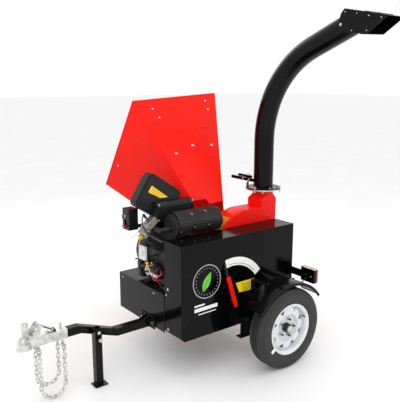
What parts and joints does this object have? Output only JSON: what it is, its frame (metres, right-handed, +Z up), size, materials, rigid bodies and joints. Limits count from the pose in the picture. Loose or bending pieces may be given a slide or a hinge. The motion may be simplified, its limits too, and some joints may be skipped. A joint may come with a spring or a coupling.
{
  "type": "wood chipper",
  "caption": "Towable disc wood chipper on a single-axle trailer, with an engine, a belt drive, a flared side feed chute and a swivelling curved discharge pipe.",
  "frame": {"origin": "on the ground, under the middle of the whole machine's bounding box", "axes": "+X to the rear of the trailer, with the tow bar at -X; -Y to the belt-guard side, where the discharge hood points at rest; +Z up"},
  "size_m": [1.901, 1.8602, 2.215],
  "materials": {
    "black_gloss": "gloss",
    "black_satin": "satin",
    "red_paint": "gloss",
    "white_paint": "gloss",
    "zinc": "satin",
    "bare_steel": "satin",
    "cast_metal": "matte",
    "aluminium": "satin",
    "tyre_rubber": "matte",
    "black_rubber": "matte",
    "black_plastic": "matte",
    "red_plastic": "gloss"
  },
  "bodies": {
    "chassis": {"chassis_frame": "black_gloss", "engine_base": "black_gloss", "belt_guard": "black_gloss", "guard_back_plate": "black_satin", "tongue": "black_gloss", "frame_bolts": "zinc", "coupler_body": "zinc", "safety_chains": "zinc", "axle": "black_gloss", "fenders": "black_gloss", "tail_light_housings": "black_gloss", "tail_light_lenses": "red_plastic", "housing_near_plate": "red_paint", "housing_far_plate": "red_paint", "housing_wrapper": "red_paint", "bearing_blocks": "cast_metal", "bed_knife": "bare_steel", "drive_belts": "black_rubber", "swivel_ring": "zinc", "feed_chute": "red_paint", "chute_bolts": "zinc", "chute_curtain": "black_rubber", "crankcase": "aluminium", "cylinders": "aluminium", "valve_covers": "aluminium", "blower_housing": "black_plastic", "air_cleaner": "black_plastic", "engine_cover": "black_satin", "muffler": "black_satin", "heat_shield": "black_satin", "starter_motor": "aluminium", "control_box": "black_satin", "fuel_tank": "black_plastic", "battery": "black_plastic", "engine_wires": "red_plastic"},
    "jack": {"jack_leg": "black_gloss"},
    "jack_pin": {"jack_plunger": "zinc"},
    "latch": {"coupler_latch": "zinc"},
    "wheel_left": {"hub_left": "cast_metal", "rim_left": "white_paint", "tyre_left": "tyre_rubber", "lug_nuts_left": "zinc"},
    "wheel_right": {"hub_right": "cast_metal", "rim_right": "white_paint", "tyre_right": "tyre_rubber", "lug_nuts_right": "zinc"},
    "rotor": {"rotor_shaft": "bare_steel", "chipper_disc": "bare_steel", "chipper_knives": "bare_steel", "rotor_pulley": "bare_steel"},
    "crank": {"engine_pulley": "bare_steel"},
    "lever": {"engagement_lever": "red_paint"},
    "idler": {"idler_pulley": "bare_steel"},
    "discharge": {"discharge_pipe": "black_gloss", "swivel_handle": "black_gloss", "hood_bolts": "zinc"},
    "hood": {"deflector_hood": "black_gloss"},
    "key": {"ignition_key": "zinc"},
    "throttle": {"throttle_knob": "red_plastic"},
    "cap": {"fuel_cap": "black_plastic"}
  },
  "joints": [
    {"name": "wheel_left_spin", "type": "hinge", "parent": "chassis", "child": "wheel_left", "pos_m": [0.5945, -0.4131, 0.2665], "axis": [0, 1, 0], "continuous": true},
    {"name": "wheel_right_spin", "type": "hinge", "parent": "chassis", "child": "wheel_right", "pos_m": [0.5945, 0.7189, 0.2665], "axis": [0, 1, 0], "continuous": true},
    {"name": "jack_swing", "type": "hinge", "parent": "chassis", "child": "jack", "pos_m": [-0.4785, 0.1049, 0.343], "axis": [0, -1, 0], "range_deg": [0, 90]},
    {"name": "jack_pin_pull", "type": "slide", "parent": "jack", "child": "jack_pin", "axis": [0, -1, 0], "range_m": [0, 0.012]},
    {"name": "latch_lift", "type": "hinge", "parent": "chassis", "child": "latch", "pos_m": [-0.8455, 0.1529, 0.406], "axis": [0, -1, 0], "range_deg": [0, 40]},
    {"name": "belt_lever", "type": "hinge", "parent": "chassis", "child": "lever", "pos_m": [0.3215, -0.1471, 0.458], "axis": [0, 1, 0], "range_deg": [0, 70]},
    {"name": "idler_spin", "type": "hinge", "parent": "lever", "child": "idler", "pos_m": [0.22143, -0.1171, 0.52053], "axis": [0, 1, 0], "continuous": true},
    {"name": "rotor_spin", "type": "hinge", "parent": "chassis", "child": "rotor", "pos_m": [0.6145, 0.0329, 0.7], "axis": [0, 1, 0], "continuous": true},
    {"name": "crank_spin", "type": "hinge", "parent": "chassis", "child": "crank", "pos_m": [0.0945, -0.1171, 0.712], "axis": [0, 1, 0], "continuous": true},
    {"name": "discharge_swivel", "type": "hinge", "parent": "chassis", "child": "discharge", "pos_m": [0.8255, 0.0579, 1.084], "axis": [0, 0, 1], "continuous": true},
    {"name": "hood_tilt", "type": "hinge", "parent": "discharge", "child": "hood", "pos_m": [0.8255, -0.62374, 2.12858], "axis": [1, 0, 0], "range_deg": [-30, 45]},
    {"name": "key_turn", "type": "hinge", "parent": "chassis", "child": "key", "pos_m": [-0.1055, 0.3449, 0.96], "axis": [1, 0, 0], "range_deg": [0, 60]},
    {"name": "throttle_slide", "type": "slide", "parent": "chassis", "child": "throttle", "axis": [0, 0, 1], "range_m": [0, 0.034]},
    {"name": "cap_turn", "type": "hinge", "parent": "chassis", "child": "cap", "pos_m": [0.2945, 0.4709, 0.56], "axis": [0, 0, 1], "continuous": true}
  ],
  "couplings": [
    {"joint": "crank_spin", "follows": "rotor_spin", "ratio": 1.6667}
  ]
}
